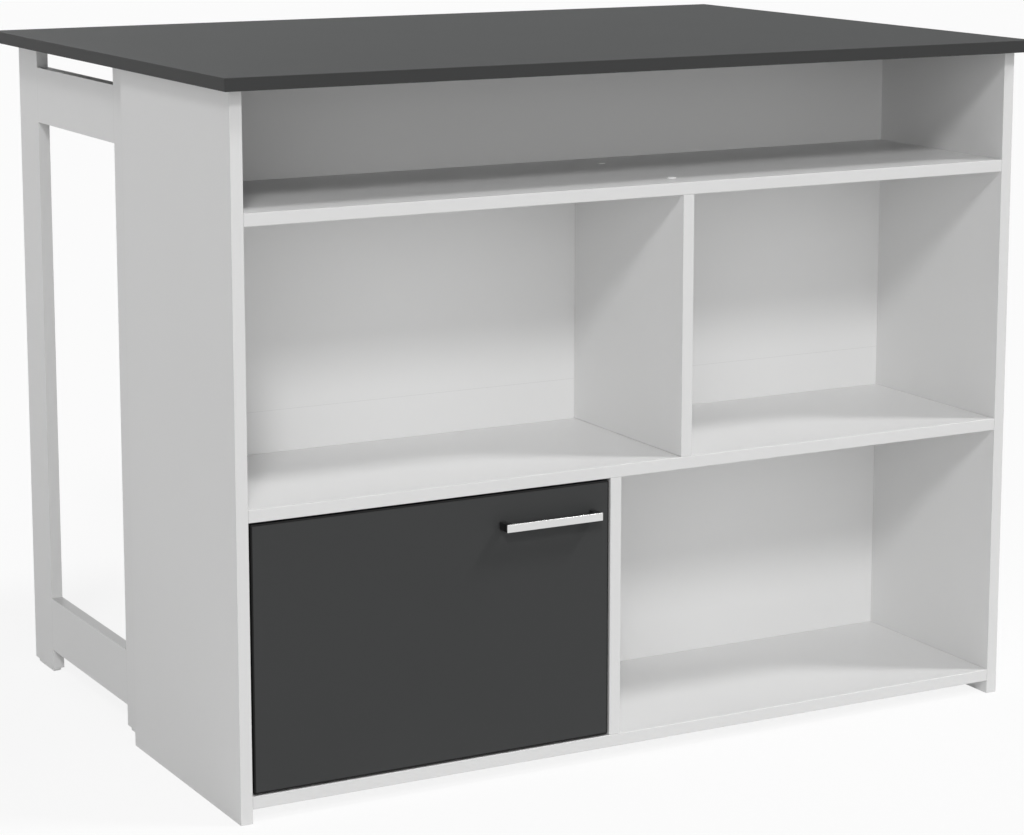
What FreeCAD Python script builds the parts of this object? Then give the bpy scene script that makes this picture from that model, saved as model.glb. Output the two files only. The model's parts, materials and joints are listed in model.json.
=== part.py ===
import FreeCAD, Part
import os

# Kitchen island unit: open shelves and one cupboard under a thin worktop.  The worktop runs on
# over a bar side, where it stands on two open end frames.  Millimetres, +Z up.  The origin is
# on the floor under the middle of the worktop; -Y is the shelving side, +Y the bar side.

# ---------------------------------------------------------------- worktop and boards
top_width = 1158.0          # along X
top_depth = 817.0           # along Y
top_thickness = 16.0
board = 16.0                # every other fixed board
over_side = 14.0            # worktop past the side panels
over_front = 22.0           # worktop past the front edges of the shelving
over_rear = 18.0            # worktop past the end frames
edge_break = 0.8            # broken corner of a banded edge

# ---------------------------------------------------------------- shelving
shelf_depth = 275.0         # shelves and dividers, front edge to back panel
side_lap = 56.0             # side panels run on past the back panel
foot_gap = 18.0             # floor to the underside of the bottom shelf
lower_clear = 337.0         # clear heights of the three rows of compartments
middle_clear = 337.0
top_clear = 144.0
cupboard_width = 495.0      # clear width, left side panel to lower divider
wide_niche_width = 599.0    # clear width, left side panel to upper divider

# ---------------------------------------------------------------- end frames of the bar side
outer_leg_width = 73.0
inner_leg_width = 124.0     # from the back panel, lapped by the side panel
rail_height = 75.0
rail_floor_gap = 34.0       # floor to the underside of the bottom rail
top_slot = 29.0             # open slot between the top rail and the worktop
glide_height = 6.0
glide_width = 12.0
glide_length = 56.0
glide_inset = 8.5           # from the leg's rear edge
glide_bevel = 1.5

# ---------------------------------------------------------------- door and handle
door_thickness = 16.0
door_gap = 2.5
handle_centres = 128.0      # between the two screws
handle_foot = 8.0           # each foot, along the bar
handle_height = 10.0
handle_reach = 21.0         # door face to the front of the bar
handle_bar_depth = 8.0      # bar with its face strip
handle_strip = 1.5          # thickness of the face strip
handle_end_inset = 20.5     # door's free edge to the end of the bar
handle_drop = 40.0          # door's top edge to the middle of the bar
handle_bite = 9.0           # screw in the foot
stop_width = 24.0
stop_depth = 10.0
stop_height = 14.0
stop_inset = 34.0           # from the door's free edge

# ---------------------------------------------------------------- hinges
hinge_from_end = 70.0       # door's end to the middle of the hinge
cup_radius = 17.5
cup_edge = 4.5              # door left between the cup and the hinge edge
cup_cover = 3.2             # door left in front of the cup
cup_wall = 0.8
cup_flange = 1.2
flange_rim = 1.6            # flange past the cup
cup_screw_offset = 6.0      # screws further from the hinge edge than the cup's middle
cup_screw_spacing = 48.0
lobe_radius = 6.5           # flange round each screw
cheek_gap = 1.4             # arm to the cheeks that hold the pin
cheek_wall = 1.2
cheek_margin = 2.4          # cheek round the pin
pin_radius = 1.5
pin_from_cup = 7.0          # pin nearer the hinge edge than the cup's middle
pin_floor_gap = 0.7         # knuckle to the cup's floor
pin_clearance = 0.1         # pin in the arm's eye and in the cheeks
knuckle_wall = 1.1
arm_thickness = 2.0
arm_width = 14.0
swing_clearance = 0.4       # cranked arm to the door's corner as it swings by
channel_lip = 1.0           # channel past the arm, on each side
channel_height = 8.7        # above the plate
channel_length = 50.0
channel_wall = 1.5
plate_setback = 37.0        # middle of the plate behind the door's back face
plate_thickness = 2.8
plate_wing_span = 52.0
plate_wing_width = 15.0
plate_pedestal_length = 40.0
plate_screw_spacing = 32.0
adjusting_screw_spacing = 27.0
adjusting_screw_length = 7.0
arm_bend = 1.8              # outer radius of the crank's bends
wing_corner = 4.0           # cut corner of the plate's wings

# ---------------------------------------------------------------- connectors
fit = 0.2                   # clearance of a piece in its bore
running_fit = 0.3           # clearance between the door's pieces and what stays still
dowel_radius = 4.0
dowel_length = 30.0
dowel_in_face = 11.0        # depth in a board's face
cam_radius = 7.5
cam_cover = 3.5             # board left above the cam
cam_reach = 34.0            # joint face to the middle of the cam
bolt_bite = 11.0            # bolt in the fixed board
bolt_radius = 2.8
bolt_head_radius = 3.4
bolt_head_length = 4.0
cam_cap_radius = 9.0
cam_cap_thickness = 1.0
shelf_fix_front = 37.0      # first cam behind the shelf's front edge
shelf_fix_rear = 60.0       # last cam ahead of the shelf's rear edge
panel_fix = 100.0           # back panel's end to its cam
divider_fix_front = 43.0    # divider connectors behind the front edge
divider_fix_rear = 220.0
confirmat_length = 50.0
confirmat_radius = 3.0
confirmat_head_radius = 4.8
confirmat_head_length = 3.0
cap_radius = 6.0
cap_thickness = 1.2
rail_dowel_inset = 18.0     # from the rail's edges
leg_screw_end = 95.0        # from the floor and from the worktop
leg_fix_spacing = 24.0      # dowel to bracket, on top of a leg
seam_dowel_spacing = 350.0
bracket_leg = 25.0
bracket_width = 20.0
bracket_thickness = 2.0
bracket_hole_inset = 9.0    # from the end of the bracket's leg
screw_radius = 1.8
screw_head_radius = 3.5
screw_head_height = 1.8
screw_cover = 3.0           # board left beyond a screw's tip
small_sides = 6             # faces round a small fastener and its bore
cam_sides = 8
cap_sides = 12
nearly_zero = 1e-6

# ---------------------------------------------------------------- places that follow
X, Y, Z = FreeCAD.Vector(1, 0, 0), FreeCAD.Vector(0, 1, 0), FreeCAD.Vector(0, 0, 1)

right = top_width / 2 - over_side           # outer faces of the side panels
left = -right
front = over_front - top_depth / 2          # front edges of shelves and side panels
back_front = front + shelf_depth            # faces of the back panels
back_rear = back_front + board
side_rear = back_rear + side_lap
inner_leg_rear = back_rear + inner_leg_width
frame_rear = top_depth / 2 - over_rear
outer_leg_front = frame_rear - outer_leg_width

bottom_top = foot_gap + board
middle_under = bottom_top + lower_clear
middle_top = middle_under + board
upper_under = middle_top + middle_clear
upper_top = upper_under + board
top_under = upper_top + top_clear
height = top_under + top_thickness
back_joint = top_under / 2                  # the two back panels are alike

inside_left = left + board
inside_right = right - board
lower_divider_left = inside_left + cupboard_width
upper_divider_left = inside_left + wide_niche_width

door_left = inside_left + door_gap
door_right = lower_divider_left - door_gap
door_bottom = bottom_top + door_gap
door_top = middle_under - door_gap
door_back = front + door_thickness

solids = {}                 # node name -> its solids
bores = {}                  # node name -> what is cut from it


# ---------------------------------------------------------------- helpers
def vec(x, y, z):
    return FreeCAD.Vector(x, y, z)


def block(x, y, z):
    """A box between pairs of limits."""
    low = vec(min(x), min(y), min(z))
    return Part.makeBox(max(x) - low.x, max(y) - low.y, max(z) - low.z, low)


def rod(start, direction, length, radius):
    return Part.makeCylinder(radius, length, start, direction)


def ring(centre, direction, radius, sides):
    """A closed polygon round a direction."""
    arm = (Z if abs(direction.z) < 0.5 else X) * radius
    turn = FreeCAD.Rotation(direction, 360.0 / sides)
    corners = []
    for _ in range(sides):
        corners.append(centre + arm)
        arm = turn.multVec(arm)
    return Part.makePolygon(corners + corners[:1])


def peg(start, direction, length, radius, sides=small_sides):
    """A bar of few faces, for a small fastener or its bore."""
    return Part.Face(ring(start, direction, radius, sides)).extrude(direction * length)


def taper(start, direction, length, start_radius, end_radius):
    ends = [ring(start, direction, start_radius, small_sides),
            ring(start + direction * length, direction, end_radius, small_sides)]
    return Part.makeLoft(ends, True, True)


def add(node, *shapes):
    solids.setdefault(node, []).extend(shapes)


def bore(shape, *nodes):
    for node in nodes:
        bores.setdefault(node, []).append(shape)


def joined(first, *others):
    return first.fuse(list(others)).removeSplitter()


def broken(shape, along, faces, size=edge_break):
    """Breaks the edges that run along one axis on the named faces, such as y0 or x1."""
    box = shape.BoundBox
    limits = {"x0": box.XMin, "x1": box.XMax, "y0": box.YMin, "y1": box.YMax,
              "z0": box.ZMin, "z1": box.ZMax}
    chosen = []
    for edge in shape.Edges:
        first, last = [vertex.Point for vertex in edge.Vertexes]
        middle = (first + last) * 0.5
        runs_along = abs((last - first).normalize().dot(along)) > 0.99
        on_face = any(abs(getattr(middle, face[0]) - limits[face]) < nearly_zero for face in faces)
        if runs_along and on_face:
            chosen.append(edge)
    return shape.makeChamfer(size, chosen)


# ---------------------------------------------------------------- connectors with their bores
def dowel(node, joint, direction, first, second, depth=dowel_length / 2):
    """A wooden dowel over the joint between two boards, depth deep in the second one."""
    start = joint - direction * (dowel_length - depth)
    add(node, peg(start, direction, dowel_length, dowel_radius))
    bore(peg(start - direction * fit, direction, dowel_length + 2 * fit, dowel_radius + fit),
         first, second)


def cam_joint(kind, joint, direction, outward, fixed, held):
    """A cam let into the held board draws in a bolt that is screwed into the fixed board.

    joint lies on the fixed board's face, at mid-thickness of the held board.  direction points
    into the held board, and outward to the face that the cam is let into.
    """
    head = joint + direction * (cam_reach - bolt_head_length / 2)
    bolt = joined(peg(joint - direction * bolt_bite, direction, bolt_bite + cam_reach,
                      bolt_radius),
                  peg(head, direction, bolt_head_length, bolt_head_radius))
    add(kind + "_cam_bolts", bolt)
    bore(peg(joint - direction * (bolt_bite + fit), direction, bolt_bite + 2 * fit,
             bolt_radius + fit), fixed)
    bore(peg(joint - direction * fit, direction, cam_reach, bolt_head_radius + fit), held)

    face = joint + direction * cam_reach + outward * (board / 2)
    cam = peg(face, outward * -1, board - cam_cover, cam_radius, cam_sides)
    gap = (direction.cross(outward) + outward) * (bolt_head_radius + fit)
    near = joint + direction * (cam_reach - 2 * cam_radius) - gap
    far = joint + direction * (cam_reach + bolt_head_length) + gap
    mouth = block((near.x, far.x), (near.y, far.y), (near.z, far.z))
    add(kind + "_cams", cam.cut(mouth))
    bore(peg(face, outward * -1, board - cam_cover + fit, cam_radius + fit, cam_sides), held)
    return face


def countersunk(node, face, direction, length, *nodes):
    """A wood screw with its head flush in the face."""
    head = taper(face, direction, screw_head_height, screw_head_radius, screw_radius)
    add(node, joined(head, peg(face, direction, length, screw_radius)))
    seat = taper(face, direction, screw_head_height, screw_head_radius + fit,
                 screw_radius + fit)
    bore(seat.fuse(peg(face, direction, length + fit, screw_radius + fit)), *nodes)


def pan_head(node, face, direction, length, *nodes):
    """A screw with its head on the face."""
    head = peg(face - direction * screw_head_height, direction, screw_head_height,
               screw_head_radius)
    add(node, joined(head, peg(face, direction, length, screw_radius)))
    bore(peg(face, direction, length + fit, screw_radius + fit), *nodes)


def confirmat(face, direction, through, into):
    """A one-piece connector through one board into the end of another."""
    add("divider_screws",
        joined(peg(face, direction, confirmat_head_length, confirmat_head_radius),
               peg(face, direction, confirmat_length, confirmat_radius)))
    shank = peg(face, direction, confirmat_length + fit, confirmat_radius + fit)
    seat = peg(face, direction, confirmat_head_length + fit, confirmat_head_radius + fit)
    bore(shank.fuse(seat), through)
    bore(shank, into)


def bracket(corner, sideways, fixed, thickness):
    """A steel angle between the worktop and a board of the given thickness.

    corner is where the two outer faces meet, and sideways points away from the board.
    """
    across = sideways.cross(Z) * (bracket_width / 2)
    low = corner - across - Z * bracket_leg
    high = corner + across + sideways * bracket_thickness
    upright = block((low.x, high.x), (low.y, high.y), (low.z, high.z))
    low = corner - across - Z * bracket_thickness
    high = corner + across + sideways * bracket_leg
    angle = joined(upright, block((low.x, high.x), (low.y, high.y), (low.z, high.z)))
    reach = bracket_leg - bracket_hole_inset
    fixings = ((corner + sideways * bracket_thickness - Z * reach, sideways * -1, fixed,
                thickness),
               (corner + sideways * reach - Z * bracket_thickness, Z, "worktop",
                top_thickness))
    for face, direction, node, depth in fixings:
        length = bracket_thickness + depth - screw_cover
        pan_head("bracket_screws", face, direction, length, "top_brackets", node)
    add("top_brackets", angle)


# ---------------------------------------------------------------- boards
def make_worktop():
    top = block((-top_width / 2, top_width / 2), (-top_depth / 2, top_depth / 2),
                (top_under, height))
    add("worktop", top.makeChamfer(edge_break, top.Edges))


def make_sides():
    for side, x in (("left", (left, inside_left)), ("right", (inside_right, right))):
        name = side + "_side_panel"
        panel = block(x, (front, side_rear), (0, top_under))
        add(name, broken(panel, Z, ["y0", "y1"]))
        middle = (x[0] + x[1]) / 2
        for y in (front + divider_fix_front, back_rear + side_lap / 2):
            dowel("top_dowels", vec(middle, y, top_under), Z, name, "worktop", dowel_in_face)


def make_shelves():
    for name, under in (("bottom_shelf", foot_gap), ("middle_shelf", middle_under),
                        ("upper_shelf", upper_under)):
        shelf = block((inside_left, inside_right), (front, back_front), (under, under + board))
        add(name, broken(shelf, X, ["y0"]))
        level = under + board / 2
        cams = (front + shelf_fix_front, back_front - shelf_fix_rear)
        for side, x, inward in (("left", inside_left, X), ("right", inside_right, X * -1)):
            panel = side + "_side_panel"
            for y in cams:
                cam_joint("shelf", vec(x, y, level), inward, Z * -1, panel, name)
            dowel("shelf_dowels", vec(x, sum(cams) / 2, level), inward * -1, name, panel,
                  dowel_in_face)


def make_dividers():
    for name, x, z in (("lower_divider", lower_divider_left, (bottom_top, middle_under)),
                       ("upper_divider", upper_divider_left, (middle_top, upper_under))):
        divider = block((x, x + board), (front, back_front), z)
        add(name, broken(divider, Z, ["y0"]))
    lower = lower_divider_left + board / 2
    upper = upper_divider_left + board / 2
    for y in (front + divider_fix_front, front + divider_fix_rear):
        confirmat(vec(lower, y, foot_gap), Z, "bottom_shelf", "lower_divider")
        confirmat(vec(upper, y, middle_under), Z, "middle_shelf", "upper_divider")
        confirmat(vec(upper, y, upper_top), Z * -1, "upper_shelf", "upper_divider")
        add("screw_caps", peg(vec(upper, y, upper_top), Z, cap_thickness, cap_radius, cap_sides))
        cam_joint("divider", vec(lower, y, middle_under), Z * -1, X * -1, "middle_shelf",
                  "lower_divider")
    middle = front + (divider_fix_front + divider_fix_rear) / 2
    dowel("divider_dowel", vec(lower, middle, middle_under), Z, "lower_divider",
          "middle_shelf", dowel_in_face)


def make_back():
    y = back_front + board / 2
    for name, z in (("lower_back_panel", (0, back_joint)),
                    ("upper_back_panel", (back_joint, top_under))):
        panel = block((inside_left, inside_right), (back_front, back_rear), z)
        add(name, broken(panel, X, ["z0", "z1"], edge_break / 2))
        for level in (z[0] + panel_fix, z[1] - panel_fix):
            for side, x, inward in (("left", inside_left, X), ("right", inside_right, X * -1)):
                face = cam_joint("back", vec(x, y, level), inward, Y, side + "_side_panel",
                                 name)
                add("cam_caps", peg(face, Y, cam_cap_thickness, cam_cap_radius, cap_sides))
    for step in (-1, 0, 1):
        dowel("seam_dowels", vec(step * seam_dowel_spacing, y, back_joint), Z,
              "lower_back_panel", "upper_back_panel")
    bracket(vec(0, back_rear, top_under), Y, "upper_back_panel", board)


def make_end_frames():
    """Each frame is two legs and two rails, set in from the side panel by one board."""
    rails = (("bottom_rail", rail_floor_gap), ("top_rail", top_under - top_slot - rail_height))
    for side, sign in (("left", -1), ("right", 1)):
        outer = sign * inside_right
        inner = outer - sign * board
        middle = (outer + inner) / 2
        inner_leg = side + "_inner_leg"
        outer_leg = side + "_outer_leg"
        for name, y in ((inner_leg, (back_rear, inner_leg_rear)),
                        (outer_leg, (outer_leg_front, frame_rear))):
            leg = block((outer, inner), y, (glide_height, top_under))
            add(name, broken(leg, Z, ["y0", "y1"]))
            rear = y[1] - glide_inset
            glide = block((middle - glide_width / 2, middle + glide_width / 2),
                          (rear - glide_length, rear), (0, glide_height))
            sole = [edge for edge in glide.Edges if edge.BoundBox.ZMax < nearly_zero]
            add("floor_glides", glide.makeChamfer(glide_bevel, sole))
            centre = (y[0] + y[1]) / 2
            dowel("top_dowels", vec(middle, centre + leg_fix_spacing / 2, top_under), Z, name,
                  "worktop", dowel_in_face)
            bracket(vec(inner, centre - leg_fix_spacing / 2, top_under), X * -sign, name,
                    board)
        for kind, under in rails:
            rail = block((outer, inner), (inner_leg_rear, outer_leg_front),
                         (under, under + rail_height))
            name = side + "_" + kind
            add(name, broken(rail, Y, ["z0", "z1"]))
            for level in (under + rail_dowel_inset, under + rail_height - rail_dowel_inset):
                dowel("frame_dowels", vec(middle, inner_leg_rear, level), Y, inner_leg, name)
                dowel("frame_dowels", vec(middle, outer_leg_front, level), Y, name, outer_leg)
        for level in (leg_screw_end, top_under / 2, top_under - leg_screw_end):
            countersunk("leg_screws", vec(inner, back_rear + side_lap / 2, level), X * sign,
                        2 * board - screw_cover, inner_leg, side + "_side_panel")


# ---------------------------------------------------------------- door, handle and stop
def make_door():
    door = block((door_left, door_right), (front, door_back), (door_bottom, door_top))
    add("door_panel", door.makeChamfer(edge_break, door.Edges))
    x = door_right - stop_inset
    near = door_back + running_fit
    stop = block((x - stop_width, x), (near, near + stop_depth),
                 (middle_under - stop_height, middle_under))
    add("door_stop", broken(stop, X, ["z0"]))
    face = vec(x - stop_width / 2, near + stop_depth / 2, middle_under - stop_height)
    countersunk("door_stop_screw", face, Z, stop_height + board - screw_cover, "door_stop",
                "middle_shelf")


def make_handle():
    end = door_right - handle_end_inset
    start = end - handle_centres - handle_foot
    level = door_top - handle_drop
    z = (level - handle_height / 2, level + handle_height / 2)
    strip_back = front - handle_reach + handle_strip
    bar = block((start, end), (strip_back, front), z)
    grip = block((start + handle_foot, end - handle_foot),
                 (front - handle_reach + handle_bar_depth, front), z)
    add("handle_bar", bar.cut(grip))
    strip = block((start, end), (front - handle_reach, strip_back), z)
    strip = broken(strip, X, ["y0"], handle_strip / 3)
    add("handle_face", broken(strip, Z, ["y0"], handle_strip / 3))
    for x in (start + handle_foot / 2, end - handle_foot / 2):
        pan_head("handle_screws", vec(x, door_back, level), Y * -1,
                 door_thickness + handle_bite, "door_panel", "handle_bar")


# ---------------------------------------------------------------- hinges
def make_hinge(side, level):
    """A concealed hinge: cup and pin on the door, cranked arm and plate on the side panel."""
    cup_x = door_left + cup_edge + cup_radius
    floor = front + cup_cover + fit + cup_wall
    knuckle_radius = pin_radius + pin_clearance + knuckle_wall
    pin = vec(cup_x - pin_from_cup, floor + pin_floor_gap + knuckle_radius, level)
    make_cup(side, vec(cup_x, door_back, level), floor, pin, knuckle_radius)
    make_arm(side + "_hinge_arm", pin, knuckle_radius)
    make_plate(side, level)


def make_cup(side, mouth, floor, pin, knuckle_radius):
    """A pressed cup in the door's back, with a flange and two cheeks for the pin."""
    node = side + "_hinge_cup"
    outside = cup_radius - fit
    bottom = floor - cup_wall
    shell = rod(vec(mouth.x, bottom, mouth.z), Y, mouth.y - bottom, outside)
    flange = rod(mouth, Y, cup_flange, cup_radius + flange_rim)
    screws = [mouth + X * cup_screw_offset + Z * (end * cup_screw_spacing / 2)
              for end in (-1, 1)]
    lobes = [peg(point, Y, cup_flange, lobe_radius, cap_sides) for point in screws]
    strap = block((screws[0].x - lobe_radius, screws[0].x + lobe_radius),
                  (mouth.y, mouth.y + cup_flange), (screws[0].z, screws[1].z))
    hollow = rod(vec(mouth.x, floor, mouth.z), Y, door_thickness, outside - cup_wall)
    cup = shell.fuse([flange, strap] + lobes).cut(hollow)

    half = arm_width / 2 + cheek_gap
    top = pin.y + pin_radius + cheek_margin
    reach = knuckle_radius + cheek_margin
    cheeks = [block((pin.x - reach, pin.x + reach), (floor - cup_wall / 2, top),
                    (pin.z + end * half, pin.z + end * (half + cheek_wall)))
              for end in (-1, 1)]
    length = 2 * (half + cheek_wall)
    start = pin - Z * (length / 2)
    hole = rod(start - Z * fit, Z, length + 2 * fit, pin_radius + pin_clearance)
    add(node, cup.fuse(cheeks).cut(hole).removeSplitter())
    add("hinge_pins", rod(start, Z, length, pin_radius))
    bore(rod(vec(mouth.x, front + cup_cover, mouth.z), Y, door_thickness, cup_radius),
         "door_panel")
    for point in screws:
        countersunk("hinge_cup_screws", point + Y * cup_flange, Y * -1,
                    cup_flange + door_thickness - screw_cover, node, "door_panel")


def make_arm(node, pin, knuckle_radius):
    """The cranked arm: a hooked nose round the pin, and a channel over the plate.

    The crank stays outside the circle that the door's back corner swings through.
    """
    corner = vec(door_left, door_back, pin.z)
    swing = (corner - pin).Length + swing_clearance
    near = pin.y + swing
    drop = pin.x + swing
    half = arm_thickness / 2
    web_top = inside_left + plate_thickness + channel_height
    web = web_top - arm_thickness
    run = near + arm_thickness + channel_wall
    outline = [vec(web, run, 0), vec(web, near, 0), vec(drop, near, 0),
               vec(drop, pin.y + half, 0), vec(pin.x, pin.y + half, 0),
               vec(pin.x, pin.y - half, 0), vec(drop + arm_thickness, pin.y - half, 0),
               vec(drop + arm_thickness, near + arm_thickness, 0),
               vec(web_top, near + arm_thickness, 0), vec(web_top, run, 0)]
    nose = Part.Face(Part.makePolygon(outline + outline[:1])).extrude(Z * arm_width)
    nose.translate(Z * (pin.z - arm_width / 2))
    bends = [outline[1], outline[6], outline[7]]
    outer_edges = [edge for edge in nose.Edges if any(
        (edge.BoundBox.Center - vec(bend.x, bend.y, pin.z)).Length < nearly_zero for bend in bends)]
    nose = nose.makeFillet(arm_bend, outer_edges)

    channel_half = arm_width / 2 + channel_lip
    channel = block((inside_left + plate_thickness + running_fit, web_top),
                    (run - channel_wall, run + channel_length),
                    (pin.z - channel_half, pin.z + channel_half))
    hollow = block((left, web_top - channel_wall),
                   (run - channel_wall, run + channel_length),
                   (pin.z - channel_half + channel_wall, pin.z + channel_half - channel_wall))
    channel = broken(channel.cut(hollow), Y, ["x1"], channel_wall / 2)
    knuckle = rod(pin - Z * (arm_width / 2), Z, arm_width, knuckle_radius)
    eye = rod(pin - Z * arm_width, Z, 2 * arm_width, pin_radius + pin_clearance)
    add(node, nose.fuse([channel, knuckle]).cut(eye).removeSplitter())


def make_plate(side, level):
    """The plate on the side panel: two wings and the pedestal that the channel sits on."""
    plate = side + "_hinge_plate"
    centre = door_back + plate_setback
    face = inside_left + plate_thickness
    wings = block((inside_left, face),
                  (centre - plate_wing_width / 2, centre + plate_wing_width / 2),
                  (level - plate_wing_span / 2, level + plate_wing_span / 2))
    wings = broken(wings, X, ["z0", "z1"], wing_corner)
    web_under = face + channel_height - channel_wall
    half = arm_width / 2 + channel_lip - channel_wall - running_fit
    pedestal = block((inside_left, web_under),
                     (centre - plate_pedestal_length / 2, centre + plate_pedestal_length / 2),
                     (level - half, level + half))
    add(plate, joined(wings, broken(pedestal, Y, ["x1"], channel_wall / 2)))
    for end in (-1, 1):
        countersunk("hinge_plate_screws",
                    vec(face, centre, level + end * plate_screw_spacing / 2), X * -1,
                    plate_thickness + board - screw_cover, plate, "left_side_panel")
        pan_head("hinge_adjusting_screws",
                 vec(web_under + channel_wall, centre + end * adjusting_screw_spacing / 2,
                     level), X * -1, adjusting_screw_length, plate, side + "_hinge_arm")


# ---------------------------------------------------------------- output
def finished(node):
    """The node's solids with everything cut from them that reaches them."""
    pieces = []
    for shape in solids[node]:
        tools = [tool for tool in bores.get(node, [])
                 if tool.BoundBox.intersect(shape.BoundBox)]
        pieces += (shape.cut(tools) if tools else shape).Solids
    return pieces[0] if len(pieces) == 1 else Part.makeCompound(pieces)


make_worktop()
make_sides()
make_shelves()
make_dividers()
make_back()
make_end_frames()
make_door()
make_handle()
make_hinge("lower", door_bottom + hinge_from_end)
make_hinge("upper", door_top - hinge_from_end)

os.makedirs("parts", exist_ok=True)
for node in solids:
    finished(node).exportStep("parts/" + node + ".step")
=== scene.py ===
import json
import math

import bmesh
import bpy
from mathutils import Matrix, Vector


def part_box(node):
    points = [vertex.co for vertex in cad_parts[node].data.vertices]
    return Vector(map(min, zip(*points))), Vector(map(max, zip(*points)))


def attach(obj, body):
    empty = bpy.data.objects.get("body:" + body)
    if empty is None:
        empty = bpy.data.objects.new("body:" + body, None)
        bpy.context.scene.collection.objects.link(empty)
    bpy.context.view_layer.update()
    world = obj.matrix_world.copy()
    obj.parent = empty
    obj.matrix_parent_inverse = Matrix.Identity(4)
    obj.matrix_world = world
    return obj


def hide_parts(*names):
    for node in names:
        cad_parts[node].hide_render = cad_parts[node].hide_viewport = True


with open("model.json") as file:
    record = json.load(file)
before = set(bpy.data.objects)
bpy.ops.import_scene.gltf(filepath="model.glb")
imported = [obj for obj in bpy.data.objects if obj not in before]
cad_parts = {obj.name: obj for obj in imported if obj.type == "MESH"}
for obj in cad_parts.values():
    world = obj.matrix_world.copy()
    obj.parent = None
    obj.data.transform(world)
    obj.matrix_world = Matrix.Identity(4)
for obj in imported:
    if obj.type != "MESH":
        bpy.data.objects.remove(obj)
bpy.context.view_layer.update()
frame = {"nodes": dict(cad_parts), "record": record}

# Kitchen island unit: white boards, dark worktop and door, seen from the shelving side.
# Metres, with the origin on the floor under the middle of the worktop.
scene = bpy.context.scene
print("frame loaded:", len(frame["nodes"]), "nodes")


# node trees, built from Python
class Wire:
    # one socket of a node tree, so that shader maths is written as an expression
    def __init__(self, tree, socket):
        self.tree = tree
        self.socket = socket

    def maths(self, operation, first, second):
        return Tree(self.tree).add("ShaderNodeMath", {"operation": operation},
                                   {0: first, 1: second})

    def __add__(self, other):
        return self.maths("ADD", self, other)

    def __radd__(self, other):
        return self.maths("ADD", other, self)

    def __sub__(self, other):
        return self.maths("SUBTRACT", self, other)

    def __rsub__(self, other):
        return self.maths("SUBTRACT", other, self)

    def __mul__(self, other):
        return self.maths("MULTIPLY", self, other)

    def __rmul__(self, other):
        return self.maths("MULTIPLY", other, self)

    def __truediv__(self, other):
        return self.maths("DIVIDE", self, other)

    def __rtruediv__(self, other):
        return self.maths("DIVIDE", other, self)

    def __gt__(self, other):
        return self.maths("GREATER_THAN", self, other)

    def __lt__(self, other):     # the reflected form of >
        return self.maths("LESS_THAN", self, other)

    def larger(self, other):
        return self.maths("MAXIMUM", self, other)

    def beside(self, output):
        # another output of the same node
        return Wire(self.tree, self.socket.node.outputs[output])


class Tree:
    # a node tree with one way to add a node: its type, its settings, its sockets
    def __init__(self, tree):
        self.tree = tree

    def add(self, kind, settings=None, sockets=None, output=0):
        node = self.tree.nodes.new(kind)
        for name, value in (settings or {}).items():
            if name == "stops":
                self.setStops(node.color_ramp.elements, value)
            else:
                setattr(node, name, value)
        for name, value in (sockets or {}).items():
            self.plug(value, node.inputs[name])
        return Wire(self.tree, node.outputs[output]) if len(node.outputs) else None

    def setStops(self, ramp, stops):
        while len(ramp) < len(stops):
            ramp.new(0.5)
        for stop, (place, colour) in zip(ramp, stops):
            stop.position = place
            stop.color = colour

    def plug(self, value, socket):
        # a wire, a plain value, or a list of wires for a socket that takes several
        if isinstance(value, list):
            for item in value:
                self.plug(item, socket)
        elif isinstance(value, Wire):
            self.tree.links.new(value.socket, socket)
        else:
            socket.default_value = value

    def blend(self, factor, first, second):
        # a colour between two colours
        return self.add("ShaderNodeMix", {"data_type": "RGBA"},
                        {"Factor": factor, "A": first, "B": second}, "Result")

    def place(self, scale=(1, 1, 1)):
        # object coordinates, stretched along an axis for grain and brushing
        spot = self.add("ShaderNodeTexCoord", output="Object")
        return self.add("ShaderNodeMapping", sockets={"Vector": spot, "Scale": scale})

    def noise(self, where, scale, detail=3.0, roughness=0.55):
        return self.add("ShaderNodeTexNoise", sockets={
            "Vector": where, "Scale": scale, "Detail": detail, "Roughness": roughness})

    def bump(self, height, look):
        return self.add("ShaderNodeBump", sockets={
            "Height": height, "Strength": look["bump"], "Distance": look["depth"]})

    def shownRays(self):
        # 1 for what the camera sees by itself, in metal or through glass, otherwise 0
        seen = self.add("ShaderNodeLightPath", output="Is Camera Ray")
        return seen.larger(seen.beside("Is Glossy Ray")).larger(
            seen.beside("Is Transmission Ray"))


def newLook(name):
    material = bpy.data.materials.new(name)
    material.use_nodes = True
    material.node_tree.nodes.clear()
    return material, Tree(material.node_tree)


def finishLook(material, shader):
    Tree(material.node_tree).add("ShaderNodeOutputMaterial", sockets={"Surface": shader})
    return material


black, white = (0, 0, 0, 1), (1, 1, 1, 1)
noiseMiddle = 0.5                # a noise runs from 0 to 1


def shade(colour, amount):
    return tuple(channel * amount for channel in colour) + (1,)


def unevenTone(tree, noise, colour, spread):
    # a colour that strays to both sides of its own tone
    return tree.blend(noise, shade(colour, 1 - spread), shade(colour, 1 + spread))


def unevenSheen(noise, look):
    # a roughness that strays to both sides of its own
    return look["roughness"] + (noise - noiseMiddle) * look["roughSpread"]


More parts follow.
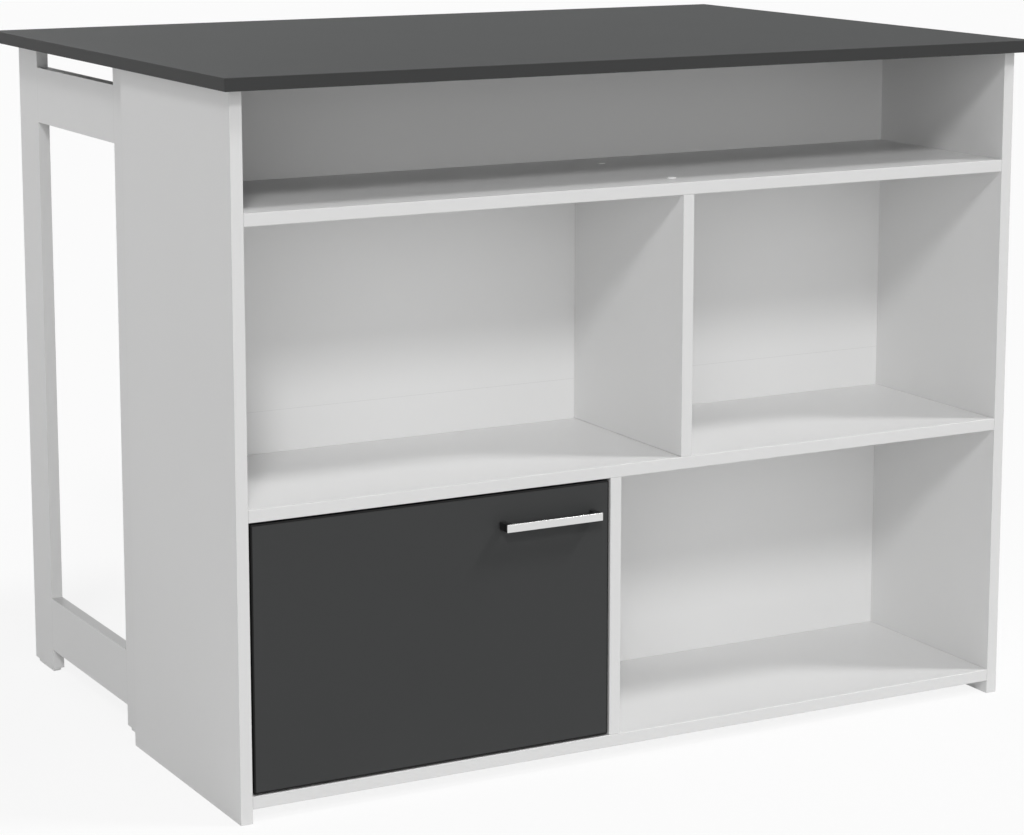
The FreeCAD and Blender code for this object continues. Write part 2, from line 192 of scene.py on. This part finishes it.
# finishes
def boardLook(name, look):
    # a melamine or laminate face, or its edge band: cloudy tone, fine pearl texture, specks
    material, tree = newLook(name)
    spot = tree.place()
    cloud = tree.noise(spot, look["cloudScale"], detail=4.0)
    pearl = tree.noise(spot, look["pearlScale"], detail=2.0, roughness=0.6)
    speck = tree.add("ShaderNodeValToRGB",
                     {"stops": [(look["speckStart"], black), (1.0, white)]}, {"Fac": pearl})
    tone = tree.blend(speck, unevenTone(tree, cloud, look["colour"], look["cloud"]),
                      shade(look["colour"], look["speck"]))
    shader = tree.add("ShaderNodeBsdfPrincipled", sockets={
        "Base Color": tone, "Roughness": unevenSheen(pearl, look),
        "Specular IOR Level": look["gloss"], "Normal": tree.bump(pearl, look)})
    return finishLook(material, shader)


def metalLook(name, look):
    # plated or brushed metal, with its lines drawn out along the axis that is scaled least
    material, tree = newLook(name)
    lines = tree.noise(tree.place(look["stretch"]), look["lineScale"], detail=5.0,
                       roughness=0.65)
    cloud = tree.noise(tree.place(), look["cloudScale"])
    shader = tree.add("ShaderNodeBsdfPrincipled", sockets={
        "Base Color": unevenTone(tree, lines, look["colour"], look["spread"]),
        "Metallic": look["metallic"], "Roughness": unevenSheen(cloud, look),
        "Normal": tree.bump(lines, look)})
    return finishLook(material, shader)


def plasticLook(name, look):
    # moulded plastic or lacquer: an even tone under a faint orange peel
    material, tree = newLook(name)
    peel = tree.noise(tree.place(), look["peelScale"], detail=2.0)
    cloud = tree.noise(tree.place(), look["cloudScale"])
    shader = tree.add("ShaderNodeBsdfPrincipled", sockets={
        "Base Color": unevenTone(tree, cloud, look["colour"], look["cloud"]),
        "Roughness": unevenSheen(cloud, look), "IOR": look["ior"],
        "Normal": tree.bump(peel, look)})
    return finishLook(material, shader)


def beechLook(name, look):
    # bare beech: fine lengthwise grain with short dark flecks
    material, tree = newLook(name)
    grain = tree.noise(tree.place(look["stretch"]), look["grainScale"], detail=6.0,
                       roughness=0.7)
    stops = [(place, shade(look["colour"], amount)) for place, amount in look["grainStops"]]
    shader = tree.add("ShaderNodeBsdfPrincipled", sockets={
        "Base Color": tree.add("ShaderNodeValToRGB", {"stops": stops}, {"Fac": grain}),
        "Roughness": unevenSheen(grain, look), "Normal": tree.bump(grain, look)})
    return finishLook(material, shader)


whiteBoard = {"colour": (0.71, 0.71, 0.708), "cloud": 0.012, "cloudScale": 5.0,
              "pearlScale": 700.0, "speckStart": 0.62, "speck": 0.95, "roughness": 0.42,
              "roughSpread": 0.10, "bump": 0.12, "depth": 0.0002, "gloss": 0.5}
# the white edge band is a darker copy of the boards' white: painted shade, so that the front
# edges, which face the lamps, come out darker
whiteBandPaintedShade = dict(whiteBoard, colour=(0.59, 0.59, 0.588), roughness=0.36, bump=0.06)
darkTop = {"colour": (0.041, 0.0425, 0.043), "cloud": 0.05, "cloudScale": 7.0,
           "pearlScale": 520.0, "speckStart": 0.60, "speck": 1.35, "roughness": 0.68,
           "roughSpread": 0.14, "bump": 0.22, "depth": 0.0002, "gloss": 0.1}
darkBand = dict(darkTop, colour=(0.030, 0.0305, 0.0305), roughness=0.6, bump=0.10, gloss=0.2)
darkDoor = dict(darkTop, colour=(0.033, 0.034, 0.0342), roughness=0.6, bump=0.18, gloss=0.2)
# the door's edge band, black and darker than the door, is painted shade of the gap round the
# door
gapShadeBand = dict(darkTop, colour=(0.010, 0.010, 0.010), roughness=0.5, bump=0.10)
handleSteel = {"colour": (0.665, 0.665, 0.66), "spread": 0.10, "stretch": (4, 60, 260),
               "lineScale": 9.0, "cloudScale": 40.0, "metallic": 0.85, "roughness": 0.36,
               "roughSpread": 0.12, "bump": 0.25, "depth": 0.0001}
hingeNickel = {"colour": (0.60, 0.59, 0.57), "spread": 0.05, "stretch": (60, 60, 20),
               "lineScale": 8.0, "cloudScale": 120.0, "metallic": 1.0, "roughness": 0.27,
               "roughSpread": 0.14, "bump": 0.05, "depth": 0.0001}
zincSteel = {"colour": (0.52, 0.53, 0.55), "spread": 0.14, "stretch": (1, 1, 1),
             "lineScale": 160.0, "cloudScale": 60.0, "metallic": 1.0, "roughness": 0.38,
             "roughSpread": 0.22, "bump": 0.08, "depth": 0.0001}
handleBlack = {"colour": (0.012, 0.012, 0.0125), "cloud": 0.15, "cloudScale": 60.0,
               "peelScale": 900.0, "roughness": 0.38, "roughSpread": 0.08, "ior": 1.47,
               "bump": 0.10, "depth": 0.0001}
whitePlastic = {"colour": (0.80, 0.80, 0.795), "cloud": 0.02, "cloudScale": 90.0,
                "peelScale": 1200.0, "roughness": 0.45, "roughSpread": 0.08, "ior": 1.47,
                "bump": 0.08, "depth": 0.0001}
dowelBeech = {"colour": (0.58, 0.42, 0.26), "stretch": (120, 120, 12), "grainScale": 6.0,
              "grainStops": ((0.30, 0.72), (0.55, 1.0), (0.80, 1.12)), "roughness": 0.6,
              "roughSpread": 0.2, "bump": 0.3, "depth": 0.0002}

looks = {
    "white_board": boardLook("whiteMelamine", whiteBoard),
    "white_band": boardLook("whiteEdgeBandPaintedShade", whiteBandPaintedShade),
    "dark_laminate": boardLook("worktopLaminate", darkTop),
    "dark_band": boardLook("darkEdgeBand", darkBand),
    "dark_board": boardLook("doorMelamine", darkDoor),
    "black_band": boardLook("doorEdgeBandPaintedGapShade", gapShadeBand),
    "handle_metal": metalLook("brushedHandle", handleSteel),
    "handle_black": plasticLook("blackHandle", handleBlack),
    "hinge_steel": metalLook("nickelPlate", hingeNickel),
    "bracket_steel": metalLook("zincPlate", zincSteel),
    "screw_steel": metalLook("zincScrew", dict(zincSteel, roughness=0.33)),
    "zinc": metalLook("castZinc", dict(zincSteel, roughness=0.5)),
    "dowel_wood": beechLook("bareBeech", dowelBeech),
    "white_plastic": plasticLook("whitePlastic", whitePlastic),
    "glide_plastic": plasticLook("glidePlastic", dict(whitePlastic, roughness=0.55)),
}
print("finishes made:", len(looks))

# every node of the frame takes the finish of its slot in the record
for row in frame["record"]["subparts"]:
    nodeMesh = frame["nodes"][row["node"]].data
    nodeMesh.materials.clear()
    nodeMesh.materials.append(looks[row["material_slot"]])


# pieces
def along(axis, size=1.0):
    # a vector along one axis, with 0 for x, 1 for y and 2 for z
    return Vector(size * (i == axis) for i in range(3))


def addObject(name, data):
    item = bpy.data.objects.new(name, data)
    scene.collection.objects.link(item)
    return item


def meshFrom(name, bm):
    mesh = bpy.data.meshes.new(name)
    bm.to_mesh(mesh)
    bm.free()
    return mesh


def plainMesh(item):
    # a mesh of the object as its modifiers leave it
    bpy.context.view_layer.update()
    return bpy.data.meshes.new_from_object(
        item.evaluated_get(bpy.context.evaluated_depsgraph_get()))


def newPiece(name, mesh, body, node):
    # a mesh that rides on its body and stands for its node
    piece = addObject(name, mesh)
    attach(piece, body)
    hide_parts(node)
    return piece


def shapedPiece(name, bm, finishes, body, node):
    bmesh.ops.recalc_face_normals(bm, faces=bm.faces)
    mesh = meshFrom(name, bm)
    for finish in finishes:
        mesh.materials.append(looks[finish])
    return newPiece(name, mesh, body, node)


def roundedBlock(bm, low, high, radius, segments=3):
    made = bmesh.ops.create_cube(bm, size=1.0)
    size, middle = high - low, (high + low) / 2
    for vertex in made["verts"]:
        vertex.co = Vector(middle[i] + vertex.co[i] * size[i] for i in range(3))
    # each edge once, in an order that is the same in every run
    edges = dict.fromkeys(edge for vertex in made["verts"] for edge in vertex.link_edges)
    bmesh.ops.bevel(bm, geom=list(edges), offset=radius, segments=segments, profile=0.5,
                    affect="EDGES", clamp_overlap=True)


def bandedSlab(node, body, slot, bandSlot, thin, edges):
    # a board with rounded edges and a band round them; thin is the axis of its thickness
    low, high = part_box(node)
    inset = edges["band"]
    wide = [i for i in range(3) if "xyz"[i] != thin]
    bm = bmesh.new()
    roundedBlock(bm, low, high, edges["corner"])
    for axis in wide:
        for place in (low[axis] + inset, high[axis] - inset):
            bmesh.ops.bisect_plane(bm, geom=bm.verts[:] + bm.edges[:] + bm.faces[:],
                                   plane_co=along(axis, place), plane_no=along(axis))
    for face in bm.faces:
        middle = face.calc_center_median()
        inside = all(low[i] + inset < middle[i] < high[i] - inset for i in wide)
        face.material_index = 0 if inside else 1
    return shapedPiece(node + "_board", bm, [slot, bandSlot], body, node)


# how far the edges are rounded, and how far their band shows on the face
openEdges = {"corner": 0.0008, "band": 0.0010}
jointEdges = {"corner": 0.0003, "band": 0.0002}     # boards that meet flush
seamEdges = {"corner": 0.0001, "band": 0.0002}      # the back panels, at the seam between them
doorGapShadeEdges = {"corner": 0.0009, "band": 0.0020}      # black, and reaching 2 mm on to the face: painted shade of the gap round the door


def whiteSlab(node, thin, edges):
    bandedSlab(node, "cabinet", "white_board", "white_band", thin, edges)


def makeBoards():
    bandedSlab("worktop", "cabinet", "dark_laminate", "dark_band", "z", openEdges)
    for node in ("left_side_panel", "right_side_panel", "lower_divider", "upper_divider"):
        whiteSlab(node, "x", openEdges)
    for node in ("bottom_shelf", "middle_shelf", "upper_shelf"):
        whiteSlab(node, "z", openEdges)
    for node in ("lower_back_panel", "upper_back_panel"):
        whiteSlab(node, "y", seamEdges)
    for side in ("left_", "right_"):
        for part in ("inner_leg", "outer_leg", "top_rail", "bottom_rail"):
            whiteSlab(side + part, "x", jointEdges)


makeBoards()
print("boards made")


def boreOut(piece, bores, radius, sides):
    # round bores, each from one point to another
    bm = bmesh.new()
    for start, end in bores:
        run = end - start
        turn = run.to_track_quat("Z", "Y").to_matrix().to_4x4()
        turn.translation = (start + end) / 2
        bmesh.ops.create_cone(bm, cap_ends=True, segments=sides, radius1=radius,
                              radius2=radius, depth=run.length, matrix=turn)
    cutter = addObject("bores", meshFrom("bores", bm))
    modifier = piece.modifiers.new("bores", "BOOLEAN")
    modifier.operation = "DIFFERENCE"
    modifier.solver = "EXACT"
    modifier.object = cutter
    cut = plainMesh(piece)
    piece.modifiers.remove(modifier)
    bpy.data.objects.remove(cutter)
    uncut = piece.data
    piece.data = cut
    bpy.data.meshes.remove(uncut)


cupBores = {
    "radius": 0.0175,
    "inFromEdge": 0.022,     # from the door's hinge edge to the middle of the bore
    "cover": 0.0032,         # what is left of the door in front of the bore
    "past": 0.005,           # how far the cut runs out of the rear face
    "sides": 64,
}


def makeDoor():
    # the door's panel with the two bores that take the hinge cups
    low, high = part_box("door_panel")
    bores = []
    for side in ("lower", "upper"):
        cupLow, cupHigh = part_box(side + "_hinge_cup")
        middle = Vector((low.x + cupBores["inFromEdge"], 0, (cupLow.z + cupHigh.z) / 2))
        bores.append((middle + Vector((0, low.y + cupBores["cover"], 0)),
                      middle + Vector((0, high.y + cupBores["past"], 0))))
    panel = bandedSlab("door_panel", "door", "dark_board", "black_band", "y", doorGapShadeEdges)
    boreOut(panel, bores, cupBores["radius"], cupBores["sides"])


makeDoor()

handle = {"corner": 0.0007, "stripCorner": 0.0004, "foot": 0.008, "depth": 0.0065}


def makeHandle():
    # a black bar on two feet with a brushed strip let on to its front
    low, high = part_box("handle_bar")
    foot, depth, corner = handle["foot"], handle["depth"], handle["corner"]
    bm = bmesh.new()
    roundedBlock(bm, low, Vector((high.x, low.y + depth, high.z)), corner)
    for start in (low.x, high.x - foot):
        roundedBlock(bm, Vector((start, low.y + depth / 2, low.z)),
                     Vector((start + foot, high.y, high.z)), corner)
    shapedPiece("handleBar", bm, ["handle_black"], "door", "handle_bar")
    low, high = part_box("handle_face")
    bm = bmesh.new()
    roundedBlock(bm, low, high, handle["stripCorner"])
    shapedPiece("handleStrip", bm, ["handle_metal"], "door", "handle_face")


makeHandle()
print("door and handle made")

# what repeats: caps, cam faces and screw heads, each with its sizes
# the sink is how far a head's own base lies below the outer face of its solid
screwCap = {"Head Radius": 0.0060, "Neck Radius": 0.0060, "Head Height": 0.0020,
            "Sink": 0.0012, "Dome": 0.45, "Recess": 0.0}
camCap = {"Head Radius": 0.0090, "Neck Radius": 0.0090, "Head Height": 0.0010,
          "Sink": 0.0010, "Dome": 0.5, "Recess": 0.0}
camFace = {"Head Radius": 0.0074, "Neck Radius": 0.0072, "Head Height": 0.0010,
           "Sink": 0.0007, "Dome": 0.1, "Recess": 0.0080, "Recess Width": 0.0016}
panHead = {"Head Radius": 0.0035, "Neck Radius": 0.0035, "Head Height": 0.0018,
           "Sink": 0.0018, "Dome": 0.45, "Recess": 0.0042, "Recess Width": 0.0009}
sunkHead = {"Head Radius": 0.0034, "Neck Radius": 0.0018, "Head Height": 0.0018,
            "Sink": 0.0016, "Dome": 0.12, "Recess": 0.0039, "Recess Width": 0.0009}
shelfScrew = {"Head Radius": 0.0046, "Neck Radius": 0.0035, "Head Height": 0.0020,
              "Sink": 0.0018, "Dome": 0.12, "Recess": 0.0050, "Recess Width": 0.0012}
headShape = {
    "sides": 32,
    "rings": 5,              # across the top, so that it can be crowned
    "crownFrom": 0.5,        # of the height: what lies above is crowned
    "recessMiddle": 0.95,    # of the height
    "spinSeed": 7,
}
samePoint = 1e-6             # corners that the loose triangles of a node share
sameEnd = 1e-4               # points that lie in one end face of a fastener


def solidsOf(node):
    # the points of each separate solid of a node, in the order of its first point
    bm = bmesh.new()
    bm.from_mesh(frame["nodes"][node].data)
    bmesh.ops.remove_doubles(bm, verts=bm.verts, dist=samePoint)
    reached = set()
    groups = []
    for first in bm.verts:
        if first in reached:
            continue
        reached.add(first)
        stack = [first]
        group = []
        while stack:
            vertex = stack.pop()
            group.append(vertex.co.copy())
            for edge in vertex.link_edges:
                other = edge.other_vert(vertex)
                if other not in reached:
                    reached.add(other)
                    stack.append(other)
        groups.append(group)
    bm.free()
    return groups


def headFacing(points, low, high):
    # which way a fastener's head faces: along its axis, at the wide end
    size, middle = high - low, (low + high) / 2
    across = sorted(size)
    flat = across[1] - across[0] > across[2] - across[1]
    axis = list(size).index(across[0] if flat else across[2])

    def reach(place):
        return max((point - middle).cross(along(axis)).length
                   for point in points if abs(point[axis] - place) < sameEnd)

    return along(axis, 1.0 if reach(high[axis]) > reach(low[axis]) else -1.0)


def headPlace(points, facing=None):
    # where a fastener's head ends, and the way that it faces
    low = Vector(min(point[i] for point in points) for i in range(3))
    high = Vector(max(point[i] for point in points) for i in range(3))
    facing = facing or headFacing(points, low, high)
    axis = max(range(3), key=lambda i: abs(facing[i]))
    place = (low + high) / 2
    place[axis] = high[axis] if facing[axis] > 0 else low[axis]
    return place, facing


def headTree():
    # a round head on each point, turned the way it faces, with a cross recess
    group = bpy.data.node_groups.new("roundHeads", "GeometryNodeTree")

    def addSocket(label, kind, way="INPUT", value=None):
        socket = group.interface.new_socket(label, in_out=way, socket_type="NodeSocket" + kind)
        if value is not None:
            socket.default_value = value

    addSocket("Geometry", "Geometry")
    addSocket("Geometry", "Geometry", "OUTPUT")
    for label, value in panHead.items():
        addSocket(label, "Float", value=value)
    addSocket("Spin Seed", "Int", value=headShape["spinSeed"])
    addSocket("Finish", "Material")

    tree = Tree(group)
    points = tree.add("NodeGroupInput", output="Geometry")
    radius, high = points.beside("Head Radius"), points.beside("Head Height")
    sink = points.beside("Sink")

    # the head stands on the point's place less its sink, with its top crowned
    disc = tree.add("GeometryNodeMeshCone", {"fill_type": "TRIANGLE_FAN"}, {
        "Vertices": headShape["sides"], "Side Segments": 1,
        "Fill Segments": headShape["rings"], "Radius Top": radius,
        "Radius Bottom": points.beside("Neck Radius"), "Depth": high})
    spot = tree.add("GeometryNodeInputPosition")
    x = tree.add("ShaderNodeSeparateXYZ", sockets={"Vector": spot}, output="X")
    y, z = x.beside("Y"), x.beside("Z")
    out = (x * x + y * y) / (radius * radius)
    drop = out * out * high * points.beside("Dome") * (z > high * headShape["crownFrom"])
    fall = tree.add("ShaderNodeCombineXYZ", sockets={"Z": 0 - drop - sink})
    head = tree.add("GeometryNodeSetPosition", sockets={"Geometry": disc, "Offset": fall})

    # the recess, which is left out where its length is nothing
    size, across = points.beside("Recess"), points.beside("Recess Width")
    up = tree.add("ShaderNodeCombineXYZ", sockets={"Z": high * headShape["recessMiddle"] - sink})
    arms = []
    for measure in ({"X": size, "Y": across, "Z": high}, {"X": across, "Y": size, "Z": high}):
        extent = tree.add("ShaderNodeCombineXYZ", sockets=measure)
        arm = tree.add("GeometryNodeMeshCube", sockets={"Size": extent})
        arms.append(tree.add("GeometryNodeTransform",
                             sockets={"Geometry": arm, "Translation": up}))
    cut = tree.add("GeometryNodeMeshBoolean", {"operation": "DIFFERENCE", "solver": "EXACT"},
                   {"Mesh 1": head, "Mesh 2": arms})
    head = tree.add("GeometryNodeSwitch", {"input_type": "GEOMETRY"},
                    {"Switch": size > 0.0, "False": head, "True": cut})

    # turned to its facing, and spun about it by chance
    facing = tree.add("GeometryNodeInputNamedAttribute", {"data_type": "FLOAT_VECTOR"},
                      {"Name": "facing"})
    turn = tree.add("FunctionNodeAlignRotationToVector", {"axis": "Z"}, {"Vector": facing})
    spin = tree.add("FunctionNodeRandomValue", {"data_type": "FLOAT"},
                    {"Max": math.pi, "Seed": points.beside("Spin Seed")}, "Value")
    angles = tree.add("ShaderNodeCombineXYZ", sockets={"Z": spin})
    spinTurn = tree.add("FunctionNodeEulerToRotation", sockets={"Euler": angles})
    turn = tree.add("FunctionNodeRotateRotation", {"rotation_space": "LOCAL"},
                    {"Rotation": turn, "Rotate By": spinTurn})
    placed = tree.add("GeometryNodeInstanceOnPoints",
                      sockets={"Points": points, "Instance": head, "Rotation": turn})
    real = tree.add("GeometryNodeRealizeInstances", sockets={"Geometry": placed})
    done = tree.add("GeometryNodeSetMaterial",
                    sockets={"Geometry": real, "Material": points.beside("Finish")})
    tree.add("NodeGroupOutput", sockets={"Geometry": done})
    return group


roundHeads = headTree()


def growHeads(name, sizes, body, slot, node, facing=None):
    # the heads of a node's fasteners, grown on points and kept as a plain mesh
    places = [headPlace(points, facing) for points in solidsOf(node)]
    mesh = bpy.data.meshes.new(name + "Points")
    mesh.from_pydata([place for place, way in places], [], [])
    ways = mesh.attributes.new("facing", "FLOAT_VECTOR", "POINT")
    for item, (place, way) in zip(ways.data, places):
        item.vector = way
    carrier = addObject(name + "Points", mesh)
    modifier = carrier.modifiers.new("heads", "NODES")
    modifier.node_group = roundHeads
    wanted = dict(sizes, Finish=looks[slot])
    for item in roundHeads.interface.items_tree:
        if item.in_out == "INPUT" and item.name in wanted:
            modifier[item.identifier] = wanted[item.name]
    made = plainMesh(carrier)
    carrier.modifiers.remove(modifier)
    bpy.data.objects.remove(carrier)
    bpy.data.meshes.remove(mesh)
    newPiece(name, made, body, node)


def makeFasteners():
    left, back = Vector((-1, 0, 0)), Vector((0, 1, 0))
    up, down = Vector((0, 0, 1)), Vector((0, 0, -1))
    growHeads("shelfCaps", screwCap, "cabinet", "white_plastic", "screw_caps", up)
    growHeads("backCaps", camCap, "cabinet", "white_plastic", "cam_caps", back)
    growHeads("shelfCamFaces", camFace, "cabinet", "zinc", "shelf_cams", down)
    growHeads("dividerCamFaces", camFace, "cabinet", "zinc", "divider_cams", left)
    growHeads("dividerScrewHeads", shelfScrew, "cabinet", "screw_steel", "divider_screws")
    growHeads("bracketScrewHeads", panHead, "cabinet", "screw_steel", "bracket_screws")
    growHeads("hingeAdjusters", panHead, "cabinet", "screw_steel", "hinge_adjusting_screws")
    growHeads("plateScrewHeads", sunkHead, "cabinet", "screw_steel", "hinge_plate_screws")
    growHeads("legScrewHeads", sunkHead, "cabinet", "screw_steel", "leg_screws")
    growHeads("stopScrewHead", sunkHead, "cabinet", "screw_steel", "door_stop_screw")
    growHeads("cupScrewHeads", sunkHead, "door", "screw_steel", "hinge_cup_screws")
    growHeads("handleScrewHeads", panHead, "door", "screw_steel", "handle_screws")


makeFasteners()
print("fasteners made")

# studio
surround = {"ambient": 0.17, "backdrop": 1.0}


def makeSurround():
    world = bpy.data.worlds.new("studioWorld")
    scene.world = world
    world.use_nodes = True
    world.node_tree.nodes.clear()
    tree = Tree(world.node_tree)
    ambient, backdrop = surround["ambient"], surround["backdrop"]
    level = ambient + tree.shownRays() * (backdrop - ambient)
    glow = tree.add("ShaderNodeBackground", sockets={"Color": white, "Strength": level})
    tree.add("ShaderNodeOutputWorld", sockets={"Surface": glow})


lamps = {                    # degrees: round to the right of straight in front, and up
    "keyLamp": {"round": -27, "up": 37, "softness": 10, "strength": 0.35},
    "sideLamp": {"round": 60, "up": 50, "softness": 10, "strength": 0.44},
    "lowPanel": {"round": -30, "up": 3, "softness": 40, "strength": 0.24},
    "frontPanel": {"round": 0, "up": 30, "softness": 80, "strength": 0.22},
    "rearPanel": {"round": 176, "up": 4, "softness": 20, "strength": 0.36},
}


def makeLamps():
    for name, lamp in lamps.items():
        light = bpy.data.lights.new(name, "SUN")
        light.energy = lamp["strength"] * math.pi
        light.angle = math.radians(lamp["softness"])
        holder = addObject(name, light)
        holder.rotation_euler = (math.radians(90 - lamp["up"]), 0,
                                 math.radians(lamp["round"]))


ground = {
    "colour": (0.86, 0.86, 0.86),
    "cloud": 0.005,
    "cloudScale": 0.8,
    "glow": 0.86,            # the rest of the floor's white is lit, so a shadow still shows
    "size": 60.0,
    "drop": 0.0002,          # keeps it clear of the undersides that stand on it
}


def makeFloor():
    material, tree = newLook("paleFloor")
    cloud = tree.noise(tree.place(), ground["cloudScale"], detail=2.0)
    tone = tree.blend(cloud, shade(ground["colour"], 1 - ground["cloud"]),
                      shade(ground["colour"], 1.0))
    lit = tree.add("ShaderNodeBsdfDiffuse", sockets={"Color": tone})
    glow = tree.add("ShaderNodeEmission", sockets={"Color": white, "Strength": 1.0})
    share = tree.shownRays() * ground["glow"]
    finishLook(material, tree.add("ShaderNodeMixShader", sockets={0: share, 1: lit, 2: glow}))
    half = ground["size"] / 2
    mesh = bpy.data.meshes.new("floor")
    mesh.from_pydata([(-half, -half, 0), (half, -half, 0), (half, half, 0), (-half, half, 0)],
                     [], [(0, 1, 2, 3)])
    mesh.materials.append(material)
    floor = addObject("floor", mesh)
    floor.location.z = -ground["drop"]


view = {
    "place": (-1.865, -3.4615, 1.202),
    "yaw": 28.5,             # degrees to the right of straight ahead
    "pitch": 9.9,            # degrees down
    "lens": 102.06,
    "shiftY": -0.10,
}


def makeCamera():
    lens = bpy.data.cameras.new("camera")
    lens.lens = view["lens"]
    lens.shift_y = view["shiftY"]
    holder = addObject("camera", lens)
    holder.location = view["place"]
    holder.rotation_euler = (math.radians(90 - view["pitch"]), 0, -math.radians(view["yaw"]))
    scene.camera = holder


makeSurround()
makeLamps()
makeFloor()
makeCamera()
scene.view_settings.view_transform = "Standard"
print("studio made")
